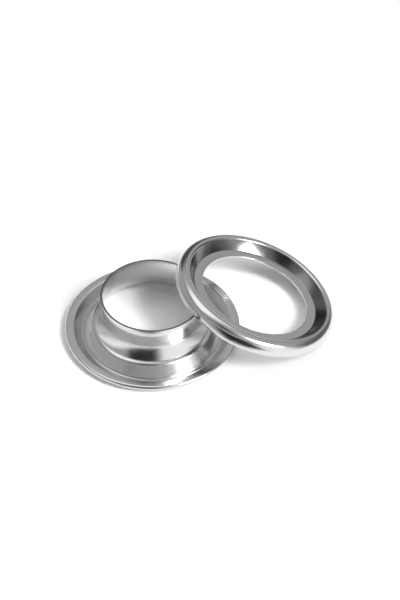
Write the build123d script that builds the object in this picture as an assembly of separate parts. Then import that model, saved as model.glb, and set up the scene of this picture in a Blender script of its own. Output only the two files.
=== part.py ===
from build123d import *
import math
import os

# Two-piece grommet: an eyelet standing on its show side, and its washer leaning on the barrel.
# Each piece is one drawn sheet: a section along the middle of the metal, as thick as the stock,
# turned about the axis of the piece. Lengths are in millimetres and Z is up. The origin is on
# the eyelet's axis, on the surface that both pieces stand on.

# Stock
sheet = 0.4  # thickness of the metal
cut_edge = 0.1  # rounding that tumbling leaves on a cut edge

# Barrel of the eyelet
mouth_diameter = 21.28  # outside, at the open end
barrel_height = 10.27  # from the surface to the open end
straight_wall = 1.49  # at least this much, from the open end down
taper_depth = 2.87  # where the straight wall and the taper would meet in a corner
taper_run = 0.33  # how far the wall opens before the flare
flare_height = 4.45  # where the taper and the flare would meet in a corner
flare_run = 1.06  # how far the flare reaches out to the shoulder

# Shoulder at the foot of the barrel, which rolls over into a long slope
crease_radius = 0.03  # of the crease that shows between the flare and the shoulder
shoulder_width = 0.6
shoulder_height = 3.0  # top of the shoulder above the surface
slope_run = 2.1  # how far out the slope reaches on its way down to the trough

# Flange of the eyelet: the trough that it stands on, then a rim with its edge turned down
trough_width = 0.35
standing_flat = 0.02  # flat left at the bottom of the trough
rim_rise_run = 1.68  # how far out the wall climbs from the trough to the rim
rim_width = 1.5
rim_height = 1.95  # top of the rim above the surface
rim_bend = 0.3
lip_bend = 0.28
lip_drop = 0.6  # from the top of the rim to the cut edge of the lip

# Washer, measured from the top of its flat ring
hole_clearance = 1.02  # gap all round the straight barrel
ring_width = 1.92  # from the hole to the foot of the wall
ring_bend = 0.29
lower_wall_run = 0.98  # the recess climbs in two slopes with a wide bend between them
lower_wall_rise = 0.61
upper_wall_run = 0.79
bead_height = 1.95  # top of the bead above the ring
crest_bend = 0.42  # where the wall turns into the top of the bead
bead_width = 1.94
shoulder_bend = 1.5  # where the bead turns down into the skirt
skirt_drop = 0.91  # from the ring down to the cut edge of the skirt

# How the washer lies
lean_direction = 11.6  # degrees round from +X, seen from above
rest_gap = 0.03  # air left between the washer and the rim of the barrel
rest_overlap = 0.12  # how far past its hole the washer touches the barrel

edge = min(cut_edge, sheet / 4)
barrel_radius = mouth_diameter / 2
hole_radius = barrel_radius + hole_clearance
washer_radius = (
    hole_radius + ring_width + lower_wall_run + upper_wall_run + bead_width + sheet / 2
)


def run_length(start, end):
    return (Vector(*end) - Vector(*start)).length


def bend_tangents(corners):
    """For each inner corner, the length that a bend of radius 1 takes from either run."""
    tangents = []
    for before, corner, after in zip(corners, corners[1:], corners[2:]):
        arriving = Vector(*corner) - Vector(*before)
        leaving = Vector(*after) - Vector(*corner)
        tangents.append(math.tan(math.radians(arriving.get_angle(leaving)) / 2))
    return tangents


def turned_sheet(corners, bends):
    """A sheet whose middle follows the corners with these bends, turned about Z."""
    section = trace(FilletPolyline(*corners, radius=bends), sheet).clean()
    return revolve(Plane.XZ * section, axis=Axis.Z)


def rounded_cut(piece, radius, height):
    """The two rims of a cut edge rounded, where the middle of the cut is at this point."""
    rims = [
        rim
        for rim in piece.edges().filter_by(GeomType.CIRCLE)
        if math.hypot(rim.radius - radius, rim.arc_center.Z - height) < 0.51 * sheet
    ]
    return fillet(rims, edge)


def eyelet():
    mouth = barrel_radius - sheet / 2
    taper_end = mouth + taper_run
    shoulder_start = taper_end + flare_run
    shoulder_end = shoulder_start + shoulder_width
    trough_start = shoulder_end + slope_run
    trough_end = trough_start + trough_width
    rim_start = trough_end + rim_rise_run
    rim_end = rim_start + rim_width

    trough = sheet / 2
    shoulder = shoulder_height - sheet / 2
    rim = rim_height - sheet / 2
    lip = rim_height - lip_drop

    corners = [
        (mouth, barrel_height),
        (mouth, barrel_height - taper_depth),
        (taper_end, flare_height),
        (shoulder_start, shoulder),
        (shoulder_end, shoulder),
        (trough_start, trough),
        (trough_end, trough),
        (rim_start, rim),
        (rim_end, rim),
        (rim_end, lip),
    ]
    taper, flare, crease, roll, trough_in, trough_out = bend_tangents(corners)[:6]

    # The shoulder and the trough are as round as their widths allow, and the flare fills its run
    crease_bend = sheet / 2 + crease_radius
    roll_bend = 0.98 * (shoulder_width - crease_bend * crease) / roll
    trough_bend = (trough_width - standing_flat) / (trough_in + trough_out)
    taper_length = run_length(corners[1], corners[2])
    flare_length = run_length(corners[2], corners[3]) - crease_bend * crease
    flare_reach = 0.98 * min(flare_length, 0.6 * taper_length)
    taper_reach = min(taper_depth - straight_wall, 0.98 * (taper_length - flare_reach))
    taper_bend = taper_reach / taper
    flare_bend = flare_reach / flare

    bends = [taper_bend, flare_bend, crease_bend, roll_bend, trough_bend, trough_bend]
    shell = turned_sheet(corners, bends + [rim_bend, lip_bend])
    shell = rounded_cut(shell, *corners[0])
    return rounded_cut(shell, *corners[-1])


def washer():
    """The washer on its own axis, with the top of its flat ring at Z = 0."""
    wall_foot = hole_radius + ring_width
    wall_break = wall_foot + lower_wall_run
    crest = wall_break + upper_wall_run
    skirt = crest + bead_width
    ring = -sheet / 2
    bead = bead_height - sheet / 2

    corners = [
        (hole_radius, ring),
        (wall_foot, ring),
        (wall_break, ring + lower_wall_rise),
        (crest, bead),
        (skirt, bead),
        (skirt, -skirt_drop),
    ]
    foot, middle, top, shoulder = bend_tangents(corners)

    # The two slopes of the recess run into each other along the widest bend that they allow
    lower_wall = run_length(corners[1], corners[2]) - ring_bend * foot
    upper_wall = run_length(corners[2], corners[3]) - crest_bend * top
    wall_bend = 0.98 * min(lower_wall, upper_wall) / middle

    shell = turned_sheet(corners, [ring_bend, wall_bend, crest_bend, shoulder_bend])
    shell = rounded_cut(shell, *corners[0])
    return rounded_cut(shell, *corners[-1])


def washer_place():
    """Where the washer comes to rest: its skirt on the surface, its ring on the barrel's rim."""
    # Seen from the side, these are the rounded edges that carry it, from the ring's top centre
    touch = hole_radius + rest_overlap
    touch_drop = sheet + rest_gap + edge
    heel = washer_radius - edge
    heel_drop = skirt_drop - edge

    reach = heel + touch
    climb = heel_drop - touch_drop
    rise = barrel_height - 2 * edge
    tilt = math.asin(rise / math.hypot(reach, climb)) - math.atan2(climb, reach)

    out = barrel_radius - edge + touch * math.cos(tilt) + touch_drop * math.sin(tilt)
    up = barrel_height - edge - touch * math.sin(tilt) + touch_drop * math.cos(tilt)
    return Rot(0, 0, lean_direction) * Pos(out, 0, up) * Rot(0, math.degrees(tilt), 0)


os.makedirs("parts", exist_ok=True)
export_step(eyelet(), "parts/eyelet.step")
export_step(washer_place() * washer(), "parts/washer.step")
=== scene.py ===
import math

import bmesh
import bpy
from mathutils import Matrix, Vector


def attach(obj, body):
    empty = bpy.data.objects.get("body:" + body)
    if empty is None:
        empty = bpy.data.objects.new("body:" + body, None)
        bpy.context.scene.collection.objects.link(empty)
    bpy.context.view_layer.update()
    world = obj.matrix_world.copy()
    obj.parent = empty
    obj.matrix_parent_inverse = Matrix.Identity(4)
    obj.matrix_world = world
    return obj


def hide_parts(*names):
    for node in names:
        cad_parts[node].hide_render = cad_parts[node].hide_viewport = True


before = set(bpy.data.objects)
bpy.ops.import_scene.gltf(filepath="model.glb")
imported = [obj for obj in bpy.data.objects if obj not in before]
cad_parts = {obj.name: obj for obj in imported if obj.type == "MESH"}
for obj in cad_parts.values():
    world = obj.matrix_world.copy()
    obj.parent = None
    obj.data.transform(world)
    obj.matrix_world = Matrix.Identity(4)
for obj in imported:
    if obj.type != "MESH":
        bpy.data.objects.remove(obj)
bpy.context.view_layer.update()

print("frame loaded:", ", ".join(sorted(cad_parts)))

mm = 0.001

# Both pieces are drawn from the same sheet
stock = {
    "thickness": 0.4,
    "cutEdge": 0.1,        # rounding on a cut edge
    "stepsRound": 256,     # faces round a full turn
    "bendStep": 3.75,      # degrees of a bend for each face
    "leastSteps": 2,       # faces of a bend, however slight
    "fill": 0.98,          # share of a run that a bend may take
    "merge": 0.0001,       # points closer than this are one
    "edgeSteps": 3,        # faces round a cut edge
    "edgeAngle": 60,       # degrees: a sharper corner is a cut edge
}


class Maths:
    # A socket that adds Math nodes when it meets an operator
    def __init__(self, tree, socket):
        self.tree = tree
        self.socket = socket

    def combine(self, operation, first, second):
        return self.tree.add("ShaderNodeMath", {"operation": operation}, {0: first, 1: second})

    def __add__(self, other):
        return self.combine("ADD", self, other)

    def __radd__(self, other):
        return self.combine("ADD", other, self)

    def __sub__(self, other):
        return self.combine("SUBTRACT", self, other)

    def __rsub__(self, other):
        return self.combine("SUBTRACT", other, self)

    def __mul__(self, other):
        return self.combine("MULTIPLY", self, other)

    def __rmul__(self, other):
        return self.combine("MULTIPLY", other, self)

    def __truediv__(self, other):
        return self.combine("DIVIDE", self, other)

    def __rtruediv__(self, other):
        return self.combine("DIVIDE", other, self)

    def only(self, operation):
        return self.tree.add("ShaderNodeMath", {"operation": operation}, {0: self})


class Nodes:
    # The node tree of a material or world
    def __init__(self, owner):
        owner.use_nodes = True
        self.tree = owner.node_tree
        self.tree.nodes.clear()

    def add(self, kind, settings=None, inputs=None, output=0):
        made = self.tree.nodes.new(kind)
        for name, value in (settings or {}).items():
            setattr(made, name, value)
        for name, value in (inputs or {}).items():
            if isinstance(value, Maths):
                self.tree.links.new(value.socket, made.inputs[name])
            else:
                made.inputs[name].default_value = value
        return Maths(self, made.outputs[output]) if made.outputs else None


def halfTurnTangent(before, corner, after):
    # The run that a bend of radius 1 takes on each side of a corner, and the turn in degrees
    turn = (corner - before).angle(after - corner)
    return math.tan(turn / 2), math.degrees(turn)


def spunSheet(name, corners, bends, place):
    # The middle of the sheet as a bent wire, spun about Z, set in place and thickened
    shape = bmesh.new()
    points = [Vector((radius, 0, height)) * mm for radius, height in corners]
    wire = [shape.verts.new(point) for point in points]
    for first, second in zip(wire, wire[1:]):
        shape.edges.new((first, second))

    for index, radius in enumerate(bends, start=1):
        tangent, turn = halfTurnTangent(points[index - 1], points[index], points[index + 1])
        bmesh.ops.bevel(
            shape,
            geom=[wire[index]],
            offset=radius * mm * tangent,
            segments=max(stock["leastSteps"], round(turn / stock["bendStep"])),
            profile=0.5,
            affect="VERTICES",
            material=-1,
        )

    # How far along the section each point lies, kept in the grain map, which the material
    # reads to place its bands of painted shade
    along = shape.verts.layers.float.new("along")
    shape.verts.ensure_lookup_table()
    current = min(shape.verts, key=lambda vert: (vert.co - points[0]).length)
    came = None
    while True:
        ahead = [edge for edge in current.link_edges if edge is not came]
        if not ahead:
            break
        came = ahead[0]
        following = came.other_vert(current)
        following[along] = current[along] + came.calc_length()
        current = following

    bmesh.ops.spin(
        shape,
        geom=shape.verts[:] + shape.edges[:],
        cent=(0, 0, 0),
        axis=(0, 0, 1),
        angle=math.tau,
        steps=stock["stepsRound"],
        use_merge=True,
    )
    bmesh.ops.remove_doubles(shape, verts=shape.verts, dist=stock["merge"] * mm)

    # The grain map runs round the axis: across is the turn, up is the length of the section,
    # which places the painted shade bands
    unwrapped = shape.loops.layers.uv.new("grain")
    for face in shape.faces:
        middle = face.calc_center_median()
        heading = math.atan2(middle.y, middle.x)
        for loop in face.loops:
            point = loop.vert.co
            turned = math.atan2(point.y, point.x) - heading
            turned = (turned + math.pi) % math.tau - math.pi
            loop[unwrapped].uv = ((heading + turned) / math.tau, loop.vert[along] / mm)
        face.smooth = True

    bmesh.ops.recalc_face_normals(shape, faces=shape.faces)
    shape.transform(place)
    mesh = bpy.data.meshes.new(name)
    shape.to_mesh(mesh)
    shape.free()

    piece = bpy.data.objects.new(name, mesh)
    bpy.context.collection.objects.link(piece)
    gauge = piece.modifiers.new("gauge", "SOLIDIFY")
    gauge.thickness = stock["thickness"] * mm
    gauge.offset = 0
    gauge.use_even_offset = True
    gauge.use_quality_normals = True
    tumbled = piece.modifiers.new("tumbled", "BEVEL")
    tumbled.width = stock["cutEdge"] * mm
    tumbled.segments = stock["edgeSteps"]
    tumbled.limit_method = "ANGLE"
    tumbled.angle_limit = math.radians(stock["edgeAngle"])
    return piece


# The eyelet stands on its show side, so its barrel points up
eyeletSizes = {
    "mouthRadius": 10.64,
    "height": 10.27,
    "straightWall": 1.49,
    "taperDepth": 2.87,
    "taperRun": 0.33,
    "flareHeight": 4.45,
    "flareRun": 1.06,
    "flareShare": 0.6,      # most of the taper's run that the flare may take
    "creaseRadius": 0.03,   # on the side that shows
    "shoulderWidth": 0.6,
    "shoulderHeight": 3.0,
    "slopeRun": 2.1,
    "troughWidth": 0.35,
    "standingFlat": 0.02,
    "rimRiseRun": 1.68,
    "rimWidth": 1.5,
    "rimHeight": 1.95,
    "rimBend": 0.3,
    "lipBend": 0.28,
    "lipDrop": 0.6,
}


def tangents(corners):
    flat = [Vector((radius, 0, height)) for radius, height in corners]
    return [halfTurnTangent(*flat[index:index + 3])[0] for index in range(len(flat) - 2)]


def makeEyelet(size):
    half = stock["thickness"] / 2
    mouth = size["mouthRadius"] - half
    taperEnd = mouth + size["taperRun"]
    shoulderStart = taperEnd + size["flareRun"]
    shoulderEnd = shoulderStart + size["shoulderWidth"]
    troughStart = shoulderEnd + size["slopeRun"]
    troughEnd = troughStart + size["troughWidth"]
    rimStart = troughEnd + size["rimRiseRun"]
    rimEnd = rimStart + size["rimWidth"]
    shoulder = size["shoulderHeight"] - half
    rim = size["rimHeight"] - half
    corners = [
        (mouth, size["height"]),
        (mouth, size["height"] - size["taperDepth"]),
        (taperEnd, size["flareHeight"]),
        (shoulderStart, shoulder),
        (shoulderEnd, shoulder),
        (troughStart, half),
        (troughEnd, half),
        (rimStart, rim),
        (rimEnd, rim),
        (rimEnd, size["rimHeight"] - size["lipDrop"]),
    ]
    taper, flare, crease, roll, troughIn, troughOut = tangents(corners)[:6]
    creaseBend = half + size["creaseRadius"]
    rollBend = stock["fill"] * (size["shoulderWidth"] - creaseBend * crease) / roll
    troughBend = (size["troughWidth"] - size["standingFlat"]) / (troughIn + troughOut)
    taperLength = math.dist(corners[1], corners[2])
    flareLength = math.dist(corners[2], corners[3]) - creaseBend * crease
    flareReach = stock["fill"] * min(flareLength, size["flareShare"] * taperLength)
    taperReach = min(
        size["taperDepth"] - size["straightWall"],
        stock["fill"] * (taperLength - flareReach),
    )
    bends = [
        taperReach / taper,
        flareReach / flare,
        creaseBend,
        rollBend,
        troughBend,
        troughBend,
        size["rimBend"],
        size["lipBend"],
    ]
    return spunSheet("drawnEyelet", corners, bends, Matrix())


# The washer, measured from the top of its flat ring
washerSizes = {
    "holeRadius": 11.66,
    "ringWidth": 1.92,
    "ringBend": 0.29,
    "lowerWallRun": 0.98,
    "lowerWallRise": 0.85,
    "upperWallRun": 0.88,
    "beadHeight": 1.95,
    "crestBend": 0.42,
    "beadWidth": 1.85,
    "shoulderBend": 1.5,
    "skirtDrop": 0.91,
}

# How it leans on the barrel
washerRest = {
    "leanDirection": 11.6,
    "gap": 0.03,
    "overlap": 0.12,
}


def washerPlace(size, rest, eyelet):
    edge = stock["cutEdge"]
    outside = (
        size["holeRadius"] + size["ringWidth"] + size["lowerWallRun"] + size["upperWallRun"]
        + size["beadWidth"] + stock["thickness"] / 2
    )
    touch = size["holeRadius"] + rest["overlap"]
    touchDrop = stock["thickness"] + rest["gap"] + edge
    reach = outside - edge + touch
    climb = size["skirtDrop"] - edge - touchDrop
    rise = eyelet["height"] - 2 * edge
    tilt = math.asin(rise / math.hypot(reach, climb)) - math.atan2(climb, reach)
    out = eyelet["mouthRadius"] - edge + touch * math.cos(tilt) + touchDrop * math.sin(tilt)
    up = eyelet["height"] - edge - touch * math.sin(tilt) + touchDrop * math.cos(tilt)
    turned = Matrix.Rotation(math.radians(rest["leanDirection"]), 4, "Z")
    moved = Matrix.Translation(Vector((out, 0, up)) * mm)
    return turned @ moved @ Matrix.Rotation(tilt, 4, "Y")


def makeWasher(size, place):
    half = stock["thickness"] / 2
    foot = size["holeRadius"] + size["ringWidth"]
    middle = foot + size["lowerWallRun"]
    crest = middle + size["upperWallRun"]
    skirt = crest + size["beadWidth"]
    bead = size["beadHeight"] - half
    corners = [
        (size["holeRadius"], -half),
        (foot, -half),
        (middle, size["lowerWallRise"] - half),
        (crest, bead),
        (skirt, bead),
        (skirt, -size["skirtDrop"]),
    ]
    footTangent, middleTangent, crestTangent, shoulderTangent = tangents(corners)
    lowerWall = math.dist(corners[1], corners[2]) - size["ringBend"] * footTangent
    upperWall = math.dist(corners[2], corners[3]) - size["crestBend"] * crestTangent
    wallBend = stock["fill"] * min(lowerWall, upperWall) / middleTangent
    bends = [size["ringBend"], wallBend, size["crestBend"], size["shoulderBend"]]
    return spunSheet("domedWasher", corners, bends, place)


# Nickel plate over the drawn sheet
nickelFinish = {
    "colour": (0.68, 0.68, 0.685, 1),
    "roughness": 0.2,
    "roughnessSpread": 0.08,
    "mottleScale": 900.0,
    "mottleDetail": 3.0,
    "grainScale": 4500.0,
    "grainDetail": 2.0,
    "grainStrength": 0.25,
    "grainHeight": 0.0015,     # mm
    # painted shade: the dark colour laid into the bands below, in place of shade and dark
    # reflections
    "paintedShade": (0.2, 0.2, 0.205, 1),
}

# Painted shade: in these bands the nickel's colour is darkened to stand in for shade and dark
# reflections. Distances in mm from the edge of the hole or mouth along the section
# painted shade on the washer's recess wall
recessPaintedShade = {"start": 2.0, "end": 4.45, "soft": 0.25}
# painted shade on the eyelet's mouth edge, the top cut face of the barrel
mouthPaintedShade = {"start": -1.0, "end": 0.02, "soft": 0.04}


def nickelMaterial(name, look, paintedShade):
    material = bpy.data.materials.new(name)
    nodes = Nodes(material)
    place = nodes.add("ShaderNodeTexCoord", output="Object")
    shadeBandMap = nodes.add("ShaderNodeUVMap", {"uv_map": "grain"})
    along = nodes.add("ShaderNodeSeparateXYZ", {}, {0: shadeBandMap}, output="Y")
    mottle = nodes.add(
        "ShaderNodeTexNoise",
        {},
        {"Vector": place, "Scale": look["mottleScale"], "Detail": look["mottleDetail"]},
    )
    roughness = look["roughness"] + (mottle - 0.5) * look["roughnessSpread"]
    grain = nodes.add(
        "ShaderNodeTexNoise",
        {},
        {"Vector": place, "Scale": look["grainScale"], "Detail": look["grainDetail"]},
    )
    bump = nodes.add(
        "ShaderNodeBump",
        {},
        {
            "Height": grain,
            "Strength": look["grainStrength"],
            "Distance": look["grainHeight"] * mm,
        },
    )

    def past(distance):
        return nodes.add(
            "ShaderNodeMapRange",
            {"interpolation_type": "SMOOTHSTEP"},
            {"Value": distance, "From Min": -paintedShade["soft"] / 2, "From Max": paintedShade["soft"] / 2},
        )

    # painted shade: 1 inside the band along the section, where the colour turns to the dark
    # shade colour
    paintedShadeMask = past(along - paintedShade["start"]) * past(paintedShade["end"] - along)
    colour = nodes.add(
        "ShaderNodeMix",
        {"data_type": "RGBA"},
        {0: paintedShadeMask, 6: look["colour"], 7: look["paintedShade"]},
        output=2,
    )
    shader = nodes.add(
        "ShaderNodeBsdfPrincipled",
        {},
        {"Base Color": colour, "Metallic": 1.0, "Roughness": roughness, "Normal": bump},
    )
    nodes.add("ShaderNodeOutputMaterial", {}, {"Surface": shader})
    return material


eyelet = makeEyelet(eyeletSizes)
washer = makeWasher(washerSizes, washerPlace(washerSizes, washerRest, eyeletSizes))
# each piece gets its own band of painted shade: the eyelet on its mouth edge, the washer in
# its recess
for piece, node, paintedShade in ((eyelet, "eyelet", mouthPaintedShade), (washer, "washer", recessPaintedShade)):
    piece.data.materials.append(nickelMaterial(node + "Nickel", nickelFinish, paintedShade))
    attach(piece, "root")
    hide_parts(node)
print("pieces spun:", eyelet.name, washer.name)


def seenRay(nodes):
    # 1 for what the camera sees, straight or in metal and glass
    camera = nodes.add("ShaderNodeLightPath", output="Is Camera Ray")
    glossy = nodes.add("ShaderNodeLightPath", output="Is Glossy Ray")
    clear = nodes.add("ShaderNodeLightPath", output="Is Transmission Ray")
    return camera + glossy + clear


# Table
tableLook = {
    "low": (-0.06, -0.0245),
    "high": (0.09, 0.075),
    "colour": 0.8,
    "shown": 1.2,          # towards the camera and in reflections, so that it reads white
}


def makeTable(look):
    shape = bmesh.new()
    bmesh.ops.create_grid(shape, x_segments=1, y_segments=1, size=0.5)
    wide, deep = (high - low for low, high in zip(look["low"], look["high"]))
    middle = [(high + low) / 2 for low, high in zip(look["low"], look["high"])]
    bmesh.ops.scale(shape, vec=(wide, deep, 1), verts=shape.verts)
    bmesh.ops.translate(shape, vec=(*middle, 0), verts=shape.verts)
    mesh = bpy.data.meshes.new("table")
    shape.to_mesh(mesh)
    shape.free()
    table = bpy.data.objects.new("table", mesh)
    bpy.context.collection.objects.link(table)
    material = bpy.data.materials.new("paleTable")
    nodes = Nodes(material)
    matt = nodes.add("ShaderNodeBsdfDiffuse", {}, {"Color": (look["colour"],) * 3 + (1,)})
    bright = nodes.add("ShaderNodeBsdfDiffuse", {}, {"Color": (look["shown"],) * 3 + (1,)})
    both = nodes.add("ShaderNodeMixShader", {}, {0: seenRay(nodes), 1: matt, 2: bright})
    nodes.add("ShaderNodeOutputMaterial", {}, {"Surface": both})
    mesh.materials.append(material)


makeTable(tableLook)
print("table laid")

# Studio walls: a plain level all round, with soft boxes and dark cards set against them
studio = {
    "level": 0.55,
    "least": 0.02,
    "poleGuard": 0.0001,   # keeps the division finite straight up and down
    "cards": [
        # azimuth is clockwise from behind the object, and all the angles are degrees
        {"azimuth": 125, "width": 21, "low": 34, "high": 56, "soft": 8, "level": 30.0},
        {"azimuth": 136, "width": 52, "low": -40, "high": 24, "soft": 14, "level": 0.9},
        {"azimuth": 196, "width": 52, "low": -60, "high": 26, "soft": 14, "level": -0.52},
        {"azimuth": 66, "width": 56, "low": 2, "high": 28, "soft": 12, "level": -0.42},
        {"azimuth": 350, "width": 44, "low": 2, "high": 32, "soft": 8, "level": -0.48},
        {"azimuth": 262, "width": 110, "low": 36, "high": 56, "soft": 12, "level": -0.2},
        {"azimuth": 192, "width": 44, "low": 46, "high": 74, "soft": 12, "level": -0.5},
        {"azimuth": 328, "width": 150, "low": 54, "high": 110, "soft": 12, "level": 1.15},
    ],
}


def makeStudio(look):
    world = bpy.data.worlds.new("studio")
    bpy.context.scene.world = world
    nodes = Nodes(world)
    direction = nodes.add("ShaderNodeTexCoord", output="Generated")
    x, y, z = (
        nodes.add("ShaderNodeSeparateXYZ", {}, {0: direction}, output=axis) for axis in "XYZ"
    )
    degrees = 180 / math.pi
    elevation = z.only("ARCSINE") * degrees
    outward = (x * x + y * y + look["poleGuard"]).only("SQRT")

    def inside(margin, soft):
        return nodes.add(
            "ShaderNodeMapRange",
            {"interpolation_type": "SMOOTHSTEP"},
            {"Value": margin, "From Min": -soft / 2, "From Max": soft / 2},
        )

    level = look["level"]
    for card in look["cards"]:
        heading = math.radians(card["azimuth"])
        facing = (x * math.sin(heading) + y * math.cos(heading)) / outward
        aside = facing.only("ARCCOSINE") * degrees
        across = inside(card["width"] / 2 - aside, card["soft"])
        above = inside(elevation - card["low"], card["soft"])
        below = inside(card["high"] - elevation, card["soft"])
        level = level + across * above * below * card["level"]
    level = level.combine("MAXIMUM", level, look["least"])
    seen = nodes.add("ShaderNodeLightPath", output="Is Camera Ray")
    walls = nodes.add("ShaderNodeBackground", {}, {"Strength": level})
    paper = nodes.add("ShaderNodeBackground", {}, {"Color": (1, 1, 1, 1)})
    shown = nodes.add("ShaderNodeMixShader", {}, {0: seen, 1: walls, 2: paper})
    nodes.add("ShaderNodeOutputWorld", {}, {"Surface": shown})


makeStudio(studio)
print("studio lit:", len(studio["cards"]), "cards")

# Camera, as the photograph was taken
shot = {
    "target": (9.81, 7.40, 1.79),   # mm, the point at the middle of the picture
    "distance": 318.75,             # mm
    "elevation": 44.27,
    "roll": 1.03,
    "lens": 90.0,
    "sensor": 36,                   # mm
    "near": 0.01,                   # m, as Blender's clip distances are
    "far": 10,
}
cameraData = bpy.data.cameras.new("camera")
cameraData.lens = shot["lens"]
cameraData.sensor_width = shot["sensor"]
cameraData.clip_start = shot["near"]
cameraData.clip_end = shot["far"]
camera = bpy.data.objects.new("camera", cameraData)
bpy.context.collection.objects.link(camera)
rise = math.radians(shot["elevation"])
back = Vector((0, -math.cos(rise), math.sin(rise)))
camera.location = (Vector(shot["target"]) + back * shot["distance"]) * mm
pitched = Matrix.Rotation(math.pi / 2 - rise, 3, "X")
rolled = Matrix.Rotation(math.radians(shot["roll"]), 3, "Z")
camera.rotation_euler = (pitched @ rolled).to_euler()
bpy.context.scene.camera = camera
bpy.context.scene.view_settings.view_transform = "Standard"
print("camera placed")
